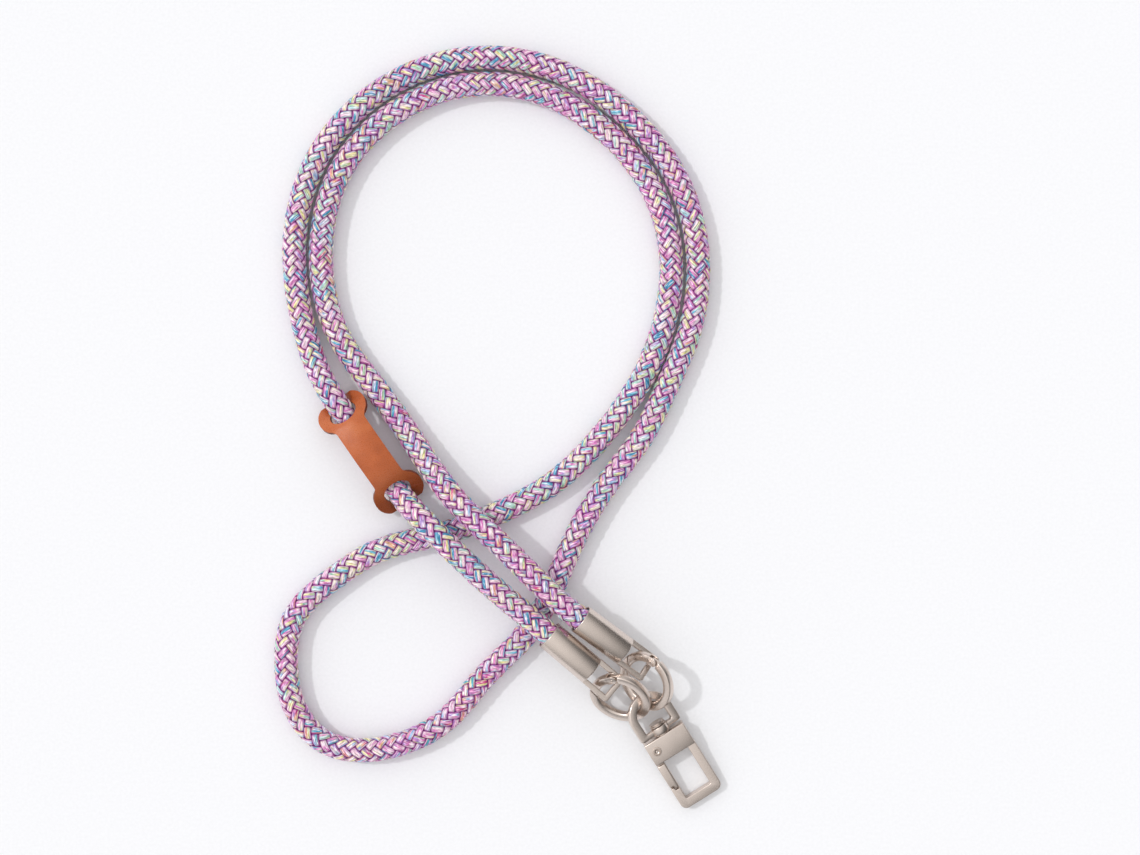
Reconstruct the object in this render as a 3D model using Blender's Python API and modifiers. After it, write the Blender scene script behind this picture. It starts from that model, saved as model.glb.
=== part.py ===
# Phone crossbody strap, lying coiled on a flat surface: a round braided rope between two end
# caps, a spring gate ring on each cap's bail, one swivel clasp on both rings, and a bone-shaped
# leather slider threaded on the rope. Metres, +Z up, surface at z = 0.

import math

import bmesh
import bpy
import numpy as np
from mathutils import Matrix, Vector

MM = 0.001

# Clearances
GAP = 0.0003
ROPE_GAP = 0.00035
SLEEVE_OVERLAP = 0.001

# Rope
ROPE_DIAMETER = 0.0096
ROPE_ENTRY = 0.015
ROPE_LEAD = 0.005
ROPE_STEP = 0.0172
ROPE_SIDES_RESOLUTION = 3

# The rope's route from the right end cap to the left one. Rows are x and y in millimetres and
# the lift of the centreline above a rope lying flat, in rope diameters.
ROPE_ROUTE = [
    # down from the right cap, over the lower strands, up the left side
    (7.0, 7.8, 1.24), (-8.4, 22.8, 1.13), (-24.5, 38.6, 0.82), (-36.4, 54.0, 0.34),
    (-46.8, 69.4, 0.08), (-58.4, 84.8, 0.0), (-69.1, 100.1, 0.0),
    # inner turn, clockwise
    (-74.8, 114.9, 0.0), (-76.8, 136.0, 0.0), (-69.4, 164.9, 0.0), (-49.0, 187.1, 0.0),
    (-21.1, 198.1, 0.0), (8.3, 195.0, 0.0), (32.9, 180.1, 0.0), (50.6, 158.0, 0.0),
    (57.8, 130.1, 0.0), (55.1, 106.7, 0.0), (44.6, 81.8, 0.0),
    # down to the small loop, round it and up again
    (29.7, 61.7, 0.0), (13.9, 46.3, 0.0), (-8.0, 34.0, 0.0), (-31.1, 25.5, 0.0),
    (-54.1, 19.4, 0.0), (-73.0, 7.8, 0.0), (-87.6, -7.6, 0.0), (-90.3, -22.9, 0.0),
    (-86.1, -42.9, 0.0), (-75.3, -54.5, 0.0), (-61.1, -57.6, 0.0), (-46.4, -55.2, 0.0),
    (-28.4, -45.6, 0.0), (-13.4, -28.7, 0.0), (0.1, -15.2, 0.0), (10.5, 0.9, 0.0),
    (20.5, 23.2, 0.0), (34.3, 46.3, 0.0), (47.0, 63.6, 0.0),
    # outer turn, anticlockwise
    (55.8, 81.2, 0.0), (64.8, 103.2, 0.0), (68.2, 130.1, 0.0), (60.0, 162.3, 0.0),
    (39.4, 187.9, 0.0), (10.9, 204.9, 0.0), (-22.9, 208.1, 0.0), (-54.9, 195.5, 0.0),
    (-78.3, 170.0, 0.0), (-87.1, 136.9, 0.0), (-84.5, 109.9, 0.03), (-77.2, 87.5, 0.26),
    # through the slider's two holes and over the lower strands to the left cap
    (-70.1, 75.2, 0.36), (-64.4, 67.0, 0.1), (-57.5, 57.1, 0.0), (-50.6, 47.2, 0.06),
    (-45.1, 39.6, 0.32), (-35.7, 29.8, 0.95), (-21.1, 15.5, 1.17), (-4.1, 0.4, 1.22),
]

# End caps: a turned sleeve with a rectangular bail on its far end
CAP_DIAMETER = 0.0114
CAP_LENGTH = 0.0216
CAP_EDGE = 0.0006
BAIL_LENGTH = 0.012
BAIL_BAR = 0.0021
BAIL_THICKNESS = 0.0023
BAIL_CORNER = 0.0008
CAP_RIGHT = {"mouth": (0.0228, -0.0062, 0.0149), "heading": -37.1, "pitch": 10.8, "roll": -15.8}
CAP_LEFT = {"mouth": (0.0109, -0.0122, 0.01525), "heading": -40.8, "pitch": 6.4, "roll": -7.8}

# Spring gate rings: a flat band bent round, with a hinged arc
RING_RADIUS = 0.0101
RING_WIDTH = 0.0034
RING_THICKNESS = 0.0028
RING_CHAMFER = 0.0008
RING_SIDES = 16
RING_PIN_ANGLE = 36.0
RING_FREE_ANGLE = 96.0
RING_PIN_RADIUS = 0.00055
RING_TONGUE = 0.0010
RING_TONGUE_RADIUS = 0.00145
RING_RIGHT = {"centre": (0.0482, -0.0305, 0.0089), "tilt": 44.0, "facing": 27.3}
RING_LEFT = {"centre": (0.0383, -0.0368, 0.0089), "tilt": 44.5, "facing": 66.5}

# Swivel clasp. Its own axes: x from the eye to the hook, y across, z up; x = 0 is the block's top.
CLASP_PLAN = (0.0545, -0.0509)
CLASP_HEADING = -58.0
CLASP_PITCH = 7.0
BLOCK_LENGTH = 0.0092
BLOCK_WIDTH = 0.0175
BLOCK_THICKNESS = 0.0060
BLOCK_BEVEL = 0.0005
HOOK_LENGTH = 0.0300
HOOK_WIDTH = 0.0177
HOOK_THICKNESS = 0.0040
HOOK_SIDE_BAR = 0.0035
HOOK_END_BAR = 0.0037
HOOK_CORNER = 0.0022
GATE_WIDTH = 0.0034
GATE_THICKNESS = 0.0036
GATE_TIP = 0.0202
GATE_SHOULDER = 0.0008
GATE_TONGUE = 0.0024
GATE_TONGUE_RADIUS = 0.0024
RIVET_RADIUS = 0.0011
RIVET_HEAD_RADIUS = 0.0019
RIVET_HEAD_HEIGHT = 0.0003
RIVET_FROM_TOP = 0.0043
RIVET_FROM_SIDE = 0.0032
POST_RADIUS = 0.0014
POST_HEAD_RADIUS = 0.0028
POST_HEAD_HEIGHT = 0.0011
COLLAR_RADIUS = 0.0026
COLLAR_HEIGHT = 0.0004
EYE_BAR_DIAMETER = 0.0030
EYE_WIDTH = 0.0178
EYE_REACH = 0.0175
EYE_BASE_HEIGHT = 0.0028
EYE_BARREL_RADIUS = 0.0034
EYE_ROLL = -14.0

# Leather slider: a strip cut to a bone shape, arched over the rope between its holes
BONE_PLAN = (-0.0575, 0.0571)
BONE_HEADING = -55.0
BONE_LENGTH = 0.046
BONE_KNOB_WIDTH = 0.0195
BONE_WAIST_WIDTH = 0.0121
BONE_THICKNESS = 0.0018
BONE_KNOB_LENGTH = 0.0095
BONE_RIM = 0.0033
BONE_RAMP = 0.0078
BONE_HOLE_LENGTH = 0.0095
BONE_ARCH_GAP = 0.0014
BONE_HOLE_GAP = 0.0007
BONE_SEGMENTS = 28

# Finishes
ROPE_COLOUR = (0.70, 0.56, 0.72, 1.0)
METAL_COLOUR = (0.60, 0.55, 0.50, 1.0)
LEATHER_COLOUR = (0.50, 0.13, 0.04, 1.0)


def clear_scene():
    for obj in list(bpy.data.objects):
        bpy.data.objects.remove(obj, do_unlink=True)


def new_collection(name):
    collection = bpy.data.collections.new(name)
    bpy.context.scene.collection.children.link(collection)
    return collection


def new_material(name, colour, metallic, roughness):
    material = bpy.data.materials.new(name)
    material.use_nodes = True
    shader = material.node_tree.nodes["Principled BSDF"]
    shader.inputs["Base Color"].default_value = colour
    shader.inputs["Metallic"].default_value = metallic
    shader.inputs["Roughness"].default_value = roughness
    return material


def placement(origin, heading, pitch=0.0, roll=0.0):
    """World matrix: local x along the heading and pitched down, y to its left, z up, rolled about x."""
    h = math.radians(heading)
    p = math.radians(pitch)
    along = Vector((math.cos(h) * math.cos(p), math.sin(h) * math.cos(p), -math.sin(p)))
    left = Matrix.Rotation(math.radians(roll), 3, along) @ Vector((-math.sin(h), math.cos(h), 0.0))
    axes = Matrix((along, left, along.cross(left))).transposed()
    return Matrix.Translation(Vector(origin)) @ axes.to_4x4()


def ring_placement(centre, tilt, facing):
    """World matrix of a ring whose local x axis points to its raised side."""
    f = math.radians(facing)
    t = math.radians(tilt)
    raised = Vector((math.cos(f) * math.cos(t), math.sin(f) * math.cos(t), math.sin(t)))
    level = Vector((-math.sin(f), math.cos(f), 0.0))
    axes = Matrix((raised, level, raised.cross(level))).transposed()
    return Matrix.Translation(Vector(centre)) @ axes.to_4x4()


def add_mesh_object(name, bm, place, collection, material=None):
    bmesh.ops.recalc_face_normals(bm, faces=bm.faces[:])
    mesh = bpy.data.meshes.new(name)
    bm.to_mesh(mesh)
    bm.free()
    if material:
        mesh.materials.append(material)
    mesh.shade_smooth()
    mesh.set_sharp_from_angle(angle=math.radians(35))
    obj = bpy.data.objects.new(name, mesh)
    collection.objects.link(obj)
    obj.matrix_world = place
    return obj


def box_mesh(low, high, bevel=0.0):
    """A box between two corners, with its edges along local z bevelled if asked."""
    bm = bmesh.new()
    bmesh.ops.create_cube(bm, size=1.0)
    size = [b - a for a, b in zip(low, high)]
    middle = [(a + b) / 2 for a, b in zip(low, high)]
    bmesh.ops.scale(bm, vec=size, verts=bm.verts)
    bmesh.ops.translate(bm, vec=middle, verts=bm.verts)
    if bevel:
        upright = [e for e in bm.edges if abs(e.verts[0].co.z - e.verts[1].co.z) > size[2] / 2]
        bmesh.ops.bevel(bm, geom=upright, offset=bevel, segments=2, profile=0.5,
                        affect="EDGES", material=-1)
    return bm


def cylinder_mesh(radius, low, high, axis, centre=(0.0, 0.0, 0.0), sides=20):
    """A cylinder about a local axis, from low to high along it."""
    bm = bmesh.new()
    bmesh.ops.create_cone(bm, cap_ends=True, segments=sides, radius1=radius, radius2=radius,
                          depth=high - low)
    bmesh.ops.translate(bm, vec=(0.0, 0.0, (low + high) / 2), verts=bm.verts)
    if axis == "X":
        bmesh.ops.rotate(bm, matrix=Matrix.Rotation(math.pi / 2, 3, "Y"), verts=bm.verts)
    bmesh.ops.translate(bm, vec=centre, verts=bm.verts)
    return bm


def plate_mesh(outline, thickness):
    """A flat outline in local x and y, extruded to half its thickness each way."""
    curve = bpy.data.curves.new("outline", "CURVE")
    curve.dimensions = "2D"
    curve.fill_mode = "BOTH"
    curve.extrude = thickness / 2
    spline = curve.splines.new("POLY")
    spline.points.add(len(outline) - 1)
    for point, (x, y) in zip(spline.points, outline):
        point.co = (x, y, 0.0, 1.0)
    spline.use_cyclic_u = True
    return curve_to_bmesh(curve)


def tube_mesh(points, radius, resolution):
    curve = tube_curve(points, radius, resolution)
    return curve_to_bmesh(curve)


def tube_curve(points, radius, resolution):
    curve = bpy.data.curves.new("tube", "CURVE")
    curve.dimensions = "3D"
    curve.bevel_depth = radius
    curve.bevel_resolution = resolution
    curve.use_fill_caps = True
    spline = curve.splines.new("POLY")
    spline.points.add(len(points) - 1)
    for point, co in zip(spline.points, points):
        point.co = (co[0], co[1], co[2], 1.0)
    return curve


def curve_to_bmesh(curve):
    """The curve's evaluated mesh with its caps welded on."""
    obj = bpy.data.objects.new("outline", curve)
    bpy.context.scene.collection.objects.link(obj)
    graph = bpy.context.evaluated_depsgraph_get()
    mesh = bpy.data.meshes.new_from_object(obj.evaluated_get(graph))
    bm = bmesh.new()
    bm.from_mesh(mesh)
    bmesh.ops.remove_doubles(bm, verts=bm.verts, dist=GAP / 30)
    bpy.data.objects.remove(obj, do_unlink=True)
    bpy.data.meshes.remove(mesh)
    bpy.data.curves.remove(curve)
    return bm


def arc_points(centre, radius, start, end, count):
    """Points on an arc in local x and y, angles in degrees."""
    angles = np.radians(np.linspace(start, end, count))
    return [(centre[0] + radius * math.cos(a), centre[1] + radius * math.sin(a)) for a in angles]


def add_boolean(target, tool, operation):
    modifier = target.modifiers.new(operation.lower() + "_" + tool.name, "BOOLEAN")
    modifier.operation = operation
    modifier.object = tool


class Shop:
    """The collections and finishes that every piece uses."""

    def __init__(self):
        self.parts = new_collection("phone_crossbody_strap")
        self.cutters = new_collection("cutters")
        self.rope = new_material("braided_rope", ROPE_COLOUR, 0.0, 0.85)
        self.metal = new_material("satin_nickel", METAL_COLOUR, 1.0, 0.32)
        self.leather = new_material("tan_leather", LEATHER_COLOUR, 0.0, 0.5)

    def piece(self, name, bm, place, material):
        return add_mesh_object(name, bm, place, self.parts, material)

    def tool(self, name, bm, place, target=None, operation="DIFFERENCE"):
        obj = add_mesh_object(name, bm, place, self.cutters)
        obj.hide_render = True
        obj.display_type = "WIRE"
        if target:
            add_boolean(target, obj, operation)
        return obj


def spline_points(points, step):
    """Points about a step apart on a natural cubic spline through the given points."""
    pts = np.array(points)
    span = np.linalg.norm(np.diff(pts, axis=0), axis=1)
    knots = np.concatenate([[0.0], np.cumsum(span)])
    count = len(pts)
    system = np.eye(count)
    right = np.zeros((count, 3))
    for i in range(1, count - 1):
        system[i, i - 1:i + 2] = (span[i - 1], 2 * (span[i - 1] + span[i]), span[i])
        right[i] = 6 * ((pts[i + 1] - pts[i]) / span[i] - (pts[i] - pts[i - 1]) / span[i - 1])
    bend = np.linalg.solve(system, right)

    def at(t):
        i = min(int(np.searchsorted(knots, t, side="right")) - 1, count - 2)
        before = t - knots[i]
        after = knots[i + 1] - t
        cubic = (bend[i] * after ** 3 + bend[i + 1] * before ** 3) / (6 * span[i])
        linear = ((pts[i] / span[i] - bend[i] * span[i] / 6) * after
                  + (pts[i + 1] / span[i] - bend[i + 1] * span[i] / 6) * before)
        return cubic + linear

    fine = np.array([at(t) for t in np.linspace(0.0, knots[-1], 30 * count)])
    run = np.concatenate([[0.0], np.cumsum(np.linalg.norm(np.diff(fine, axis=0), axis=1))])
    stops = np.linspace(0.0, run[-1], round(run[-1] / step) + 1)
    return np.stack([np.interp(stops, run, fine[:, k]) for k in range(3)], axis=1)


def cap_place(cap):
    return placement(cap["mouth"], cap["heading"], cap["pitch"], cap["roll"])


def rope_route():
    """The whole route, with its two straight ends on the end caps' axes."""
    flat = ROPE_DIAMETER / 2
    offsets = (ROPE_ENTRY, ROPE_ENTRY / 2, 0.0, -ROPE_LEAD)
    start = [cap_place(CAP_RIGHT) @ Vector((x, 0.0, 0.0)) for x in offsets]
    end = [cap_place(CAP_LEFT) @ Vector((x, 0.0, 0.0)) for x in reversed(offsets)]
    middle = [(x * MM, y * MM, flat + lift * ROPE_DIAMETER) for x, y, lift in ROPE_ROUTE]
    return [tuple(p) for p in start] + middle + [tuple(p) for p in end]


def make_rope(shop):
    points = spline_points(rope_route(), ROPE_STEP)
    curve = tube_curve(points, ROPE_DIAMETER / 2, ROPE_SIDES_RESOLUTION)
    curve.materials.append(shop.rope)
    obj = bpy.data.objects.new("rope", curve)
    shop.parts.objects.link(obj)


def make_end_cap(shop, side, cap):
    """A sleeve turned about x with a blind bore, and its bail joined on."""
    place = cap_place(cap)
    outer = CAP_DIAMETER / 2
    bore = ROPE_DIAMETER / 2 + ROPE_GAP
    depth = ROPE_ENTRY + GAP
    profile = [(CAP_LENGTH, 0.0), (CAP_LENGTH, outer - CAP_EDGE), (CAP_LENGTH - CAP_EDGE, outer),
               (0.0, outer), (0.0, bore), (depth, bore), (depth, 0.0)]
    bm = bmesh.new()
    verts = [bm.verts.new((x, y, 0.0)) for x, y in profile]
    for a, b in zip(verts, verts[1:]):
        bm.edges.new((a, b))
    name = "end_cap_" + side
    cap_obj = shop.piece(name, bm, place, shop.metal)
    screw = cap_obj.modifiers.new("turn", "SCREW")
    screw.axis = "X"
    screw.steps = 24
    screw.render_steps = 24
    screw.use_merge_vertices = True
    screw.merge_threshold = 0.00001

    end = CAP_LENGTH + BAIL_LENGTH
    half = CAP_DIAMETER / 2
    thick = BAIL_THICKNESS / 2
    bail = shop.tool("bail_blank_" + side,
                     box_mesh((CAP_LENGTH - SLEEVE_OVERLAP, -half, -thick), (end, half, thick),
                              BAIL_CORNER),
                     place)
    shop.tool("bail_hole_" + side,
              box_mesh((CAP_LENGTH, BAIL_BAR - half, -2 * thick),
                       (end - BAIL_BAR, half - BAIL_BAR, 2 * thick)),
              place, bail)
    add_boolean(cap_obj, bail, "UNION")


def band_section():
    """The ring band's section: radius and height, with its corners cut off."""
    w = RING_WIDTH / 2
    t = RING_THICKNESS / 2
    c = RING_CHAMFER
    corners = [(w, -t + c), (w, t - c), (w - c, t), (-w + c, t),
               (-w, t - c), (-w, -t + c), (-w + c, -t), (w - c, -t)]
    return [(RING_RADIUS + r, z) for r, z in corners]


def band_arc(start, end):
    """The band's solid between two angles in degrees about local z."""
    bm = bmesh.new()
    turn = Matrix.Rotation(math.radians(start), 3, "Z")
    verts = [bm.verts.new(turn @ Vector((r, 0.0, z))) for r, z in band_section()]
    face = bm.faces.new(verts)
    steps = max(3, round(RING_SIDES * (end - start) / 360.0))
    bmesh.ops.spin(bm, geom=[face, *face.edges, *face.verts], cent=(0, 0, 0), axis=(0, 0, 1),
                   angle=math.radians(end - start), steps=steps, use_duplicate=False)
    return bm


def on_ring(angle, radius=RING_RADIUS):
    a = math.radians(angle)
    return Vector((radius * math.cos(a), radius * math.sin(a), 0.0))


def slant_end(bm, clearance):
    """Slides the band's end at the free angle on to the plane that lets the gate swing inwards."""
    corner = on_ring(RING_FREE_ANGLE, RING_RADIUS + RING_WIDTH / 2)
    normal = (corner - on_ring(RING_PIN_ANGLE)).normalized()
    a = math.radians(RING_FREE_ANGLE)
    radial = Vector((math.cos(a), math.sin(a), 0.0))
    tangent = Vector((-math.sin(a), math.cos(a), 0.0))
    for vert in bm.verts:
        if abs(vert.co.dot(tangent)) < 1e-6 and vert.co.dot(radial) > 0:
            offset = (vert.co - corner - normal * clearance).dot(normal)
            vert.co -= tangent * offset / tangent.dot(normal)


def make_ring(shop, side, ring):
    """A gate ring: the frame with its hinge tongue, and the gate with its forked knuckle and pin."""
    place = ring_placement(ring["centre"], ring["tilt"], ring["facing"])
    pin = on_ring(RING_PIN_ANGLE)
    to_pin = Matrix.Translation(pin) @ Matrix.Rotation(math.radians(RING_PIN_ANGLE + 90), 4, "Z")
    knuckle = RING_WIDTH / 2
    frame_end = RING_PIN_ANGLE - math.degrees((knuckle + 1.5 * GAP) / RING_RADIUS)
    half_tongue = RING_TONGUE / 2
    half_slot = half_tongue + GAP
    half_band = RING_THICKNESS / 2

    bm = band_arc(RING_FREE_ANGLE, frame_end + 360.0)
    slant_end(bm, GAP)
    frame = shop.piece("ring_" + side + "_frame", bm, place, shop.metal)
    reach = -2 * knuckle
    tongue = shop.tool("tongue_" + side,
                       box_mesh((reach, -RING_TONGUE_RADIUS, -half_tongue),
                                (0.0, RING_TONGUE_RADIUS, half_tongue)),
                       place @ to_pin, frame, "UNION")
    tongue_end = cylinder_mesh(RING_TONGUE_RADIUS, -half_tongue, half_tongue, "Z", sides=16)
    shop.tool("tongue_end_" + side, tongue_end, place @ to_pin, frame, "UNION")
    pin_hole = cylinder_mesh(RING_PIN_RADIUS + GAP, -half_band, half_band, "Z", sides=16)
    shop.tool("pin_hole_" + side, pin_hole, place @ to_pin, frame)

    bm = band_arc(RING_PIN_ANGLE, RING_FREE_ANGLE)
    slant_end(bm, 0.0)
    bmesh.ops.transform(bm, matrix=to_pin.inverted(), verts=bm.verts)
    gate = shop.piece("ring_" + side + "_gate", bm, place @ to_pin, shop.metal)
    shop.tool("knuckle_" + side, cylinder_mesh(knuckle, -half_band, half_band, "Z"),
              place @ to_pin, gate, "UNION")
    slot = box_mesh((-2 * knuckle, -2 * knuckle, -half_slot),
                    (RING_TONGUE_RADIUS + GAP, 2 * knuckle, half_slot))
    shop.tool("slot_" + side, slot, place @ to_pin, gate)
    shop.tool("pin_" + side, cylinder_mesh(RING_PIN_RADIUS, -half_band - GAP, half_band + GAP, "Z", sides=12),
              place @ to_pin, gate, "UNION")


def clasp_place(roll=0.0):
    """The clasp leans on the surface with the hook's end, its block a little higher."""
    p = math.radians(CLASP_PITCH)
    height = HOOK_LENGTH * math.sin(p) + HOOK_THICKNESS / 2 * math.cos(p)
    return placement((*CLASP_PLAN, height), CLASP_HEADING, CLASP_PITCH, roll)


def gate_pivot():
    return (RIVET_FROM_TOP, -BLOCK_WIDTH / 2 + RIVET_FROM_SIDE)


def gate_tip_line(clearance):
    """Outer and inner ends of the slanted joint between the gate's tip and the hook's nose."""
    px, py = gate_pivot()
    outer = Vector((GATE_TIP, -HOOK_WIDTH / 2))
    normal = (outer - Vector((px, py))).normalized()
    along = Vector((-normal.y, normal.x))
    inner = outer + along * GATE_WIDTH / along.y
    shift = normal * clearance / normal.x
    return (outer.x + shift.x, outer.y), (inner.x + shift.x, inner.y)


def make_clasp_hook(shop):
    place = clasp_place()
    half = HOOK_WIDTH / 2
    end = HOOK_LENGTH
    inner_end = HOOK_LENGTH - HOOK_END_BAR
    root = BLOCK_LENGTH - SLEEVE_OVERLAP
    nose_outer, nose_inner = gate_tip_line(GAP)
    corner = HOOK_CORNER
    outline = [(root, half)]
    outline += arc_points((end - corner, half - corner), corner, 90, 0, 4)
    outline += arc_points((end - corner, corner - half), corner, 0, -90, 4)
    outline += [nose_outer, nose_inner, (inner_end, GATE_WIDTH - half),
                (inner_end, half - HOOK_SIDE_BAR), (root, half - HOOK_SIDE_BAR)]
    frame = shop.tool("hook_frame", plate_mesh(outline, HOOK_THICKNESS), place)

    half_block = BLOCK_WIDTH / 2
    half_height = BLOCK_THICKNESS / 2
    block = box_mesh((0.0, -half_block, -half_height), (BLOCK_LENGTH, half_block, half_height))
    bmesh.ops.bevel(block, geom=block.edges[:], offset=BLOCK_BEVEL, segments=1, profile=0.5,
                    affect="EDGES", material=-1)
    hook = shop.piece("clasp_hook", block, place, shop.metal)
    add_boolean(hook, frame, "UNION")

    px, py = gate_pivot()
    room = GATE_TONGUE_RADIUS + 2 * GAP
    half_slot = GATE_TONGUE / 2 + GAP
    slot = box_mesh((px - room, -half_block - GAP, -half_slot), (BLOCK_LENGTH + GAP, py + room, half_slot))
    shop.tool("gate_slot", slot, place, hook)
    rivet = cylinder_mesh(RIVET_RADIUS, -half_height - RIVET_HEAD_HEIGHT / 2,
                          half_height + RIVET_HEAD_HEIGHT / 2, "Z", (px, py, 0.0), 16)
    shop.tool("gate_rivet", rivet, place, hook, "UNION")
    for face, sign in (("top", 1), ("bottom", -1)):
        heights = sorted((sign * (half_height - GAP), sign * (half_height + RIVET_HEAD_HEIGHT)))
        head = cylinder_mesh(RIVET_HEAD_RADIUS, *heights, "Z", (px, py, 0.0), 16)
        shop.tool("rivet_head_" + face, head, place, hook, "UNION")

    head_top = -barrel_top() - GAP
    collar = cylinder_mesh(COLLAR_RADIUS, -COLLAR_HEIGHT, SLEEVE_OVERLAP, "X")
    shop.tool("post_collar", collar, place, hook, "UNION")
    post = cylinder_mesh(POST_RADIUS, head_top - POST_HEAD_HEIGHT / 2, SLEEVE_OVERLAP * 1.5, "X", sides=16)
    shop.tool("post", post, place, hook, "UNION")
    head = cylinder_mesh(POST_HEAD_RADIUS, head_top - POST_HEAD_HEIGHT, head_top, "X")
    shop.tool("post_head", head, place, hook, "UNION")


def make_clasp_gate(shop):
    """The lever: a thick bar beside the opening and a thin tongue round the rivet."""
    px, py = gate_pivot()
    place = clasp_place() @ Matrix.Translation((px, py, 0.0))
    half = HOOK_WIDTH / 2
    shoulder = BLOCK_LENGTH + GATE_SHOULDER
    tip_outer, tip_inner = gate_tip_line(0.0)
    outline = [(shoulder, -half), tip_outer, tip_inner, (shoulder, GATE_WIDTH - half)]
    bar = plate_mesh([(x - px, y - py) for x, y in outline], GATE_THICKNESS)
    gate = shop.piece("clasp_gate", bar, place, shop.metal)

    radius = GATE_TONGUE_RADIUS
    reach = shoulder + SLEEVE_OVERLAP - px
    inner = GATE_WIDTH - half - py - 2 * GAP
    outer = -half - py + 2 * GAP
    tongue = [(reach, inner)] + arc_points((0.0, 0.0), radius, 60, 240, 9) + [(reach, outer)]
    shop.tool("gate_tongue", plate_mesh(tongue, GATE_TONGUE), place, gate, "UNION")
    hole = cylinder_mesh(RIVET_RADIUS + GAP, -GATE_TONGUE, GATE_TONGUE, "Z", sides=16)
    shop.tool("gate_rivet_hole", hole, place, gate)


def barrel_top():
    """Height of the eye's barrel above the block's top."""
    return COLLAR_HEIGHT + GAP + EYE_BASE_HEIGHT


def make_swivel_eye(shop):
    """The D-shaped eye with a barrel in its base that turns on the clasp's post."""
    place = clasp_place(EYE_ROLL)
    bar = EYE_BAR_DIAMETER / 2
    half = EYE_WIDTH / 2 - bar
    base_low = COLLAR_HEIGHT + 2 * GAP
    base_high = barrel_top() - GAP
    bend = EYE_REACH - bar - half
    path = [(-(base_low + base_high) / 2, -half, 0.0)]
    path += [(x, y, 0.0) for x, y in arc_points((-bend, 0.0), half, 270, 90, 14)]
    path += [(-(base_low + base_high) / 2, half, 0.0)]
    eye = shop.piece("swivel_eye", tube_mesh(path, bar, 3), place, shop.metal)
    base = box_mesh((-base_high, -half - 0.8 * bar, -0.9 * bar), (-base_low, half + 0.8 * bar, 0.9 * bar))
    shop.tool("eye_base", base, place, eye, "UNION")
    barrel = cylinder_mesh(EYE_BARREL_RADIUS, -barrel_top(), -COLLAR_HEIGHT - GAP, "X")
    shop.tool("eye_barrel", barrel, place, eye, "UNION")
    hole = cylinder_mesh(POST_RADIUS + GAP, -2 * barrel_top(), COLLAR_HEIGHT, "X", sides=16)
    shop.tool("eye_hole", hole, place, eye)


def bone_height(x):
    """Height of the leather's underside: flat at its ends, arched over the rope between them."""
    ramp_end = BONE_LENGTH / 2 - BONE_RIM
    ramp_start = ramp_end - BONE_RAMP
    share = min(max((ramp_end - abs(x)) / (ramp_end - ramp_start), 0.0), 1.0)
    rise = ROPE_DIAMETER + BONE_ARCH_GAP
    return rise * (0.5 - 0.5 * math.cos(math.pi * share))


def bone_outline():
    """Half widths along the slider, from its waist to its rounded knobs."""
    knob = BONE_KNOB_WIDTH / 2
    waist = BONE_WAIST_WIDTH / 2
    end = BONE_LENGTH / 2
    knob_start = end - BONE_KNOB_LENGTH
    round_off = BONE_KNOB_LENGTH / 2
    rows = [(0.0, waist), (knob_start - round_off, waist), (knob_start, knob - 0.4 * (knob - waist)),
            (knob_start + 0.3 * round_off, knob)]
    rows += [(end - round_off + round_off * math.sin(a), knob - round_off * 0.6 * (1 - math.cos(a)))
             for a in np.radians((0, 30, 60, 90))]
    return rows


def make_leather_bone(shop):
    """An arched strip given its thickness, cut to the bone outline and pierced for the rope."""
    place = placement((*BONE_PLAN, 0.0), BONE_HEADING)
    end = BONE_LENGTH / 2
    width = BONE_KNOB_WIDTH / 2 + BONE_THICKNESS
    stations = np.linspace(-end - BONE_THICKNESS, end + BONE_THICKNESS, BONE_SEGMENTS + 1)
    bm = bmesh.new()
    verts = [bm.verts.new((x, -width, bone_height(x))) for x in stations]
    edges = [bm.edges.new(pair) for pair in zip(verts, verts[1:])]
    made = bmesh.ops.extrude_edge_only(bm, edges=edges)
    moved = [v for v in made["geom"] if isinstance(v, bmesh.types.BMVert)]
    bmesh.ops.translate(bm, vec=(0.0, 2 * width, 0.0), verts=moved)
    bone = shop.piece("leather_bone", bm, place, shop.leather)
    if bone.data.polygons[0].normal.z < 0:
        bone.data.flip_normals()
    wall = bone.modifiers.new("thickness", "SOLIDIFY")
    wall.thickness = BONE_THICKNESS
    wall.offset = 1.0
    wall.use_even_offset = True

    half = bone_outline()
    outline = [(x, y) for x, y in half] + [(x, -y) for x, y in reversed(half)]
    outline += [(-x, -y) for x, y in half[1:]] + [(-x, y) for x, y in reversed(half[1:])]
    tall = 4 * ROPE_DIAMETER
    shop.tool("bone_outline", plate_mesh(outline, tall), place, bone, "INTERSECT")
    hole_end = end - BONE_RIM
    hole_start = hole_end - BONE_HOLE_LENGTH
    half_hole = ROPE_DIAMETER / 2 + BONE_HOLE_GAP
    for name, sign in (("bone_hole_upper", -1), ("bone_hole_lower", 1)):
        ends = sorted((sign * hole_start, sign * hole_end))
        hole = box_mesh((ends[0], -half_hole, -tall), (ends[1], half_hole, tall))
        shop.tool(name, hole, place, bone)


def main():
    clear_scene()
    shop = Shop()
    make_rope(shop)
    for side, cap, ring in (("right", CAP_RIGHT, RING_RIGHT), ("left", CAP_LEFT, RING_LEFT)):
        make_end_cap(shop, side, cap)
        make_ring(shop, side, ring)
    make_swivel_eye(shop)
    make_clasp_hook(shop)
    make_clasp_gate(shop)
    make_leather_bone(shop)


main()
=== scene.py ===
import math

import bmesh
import bpy
import numpy as np
from mathutils import Matrix, Vector


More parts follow.
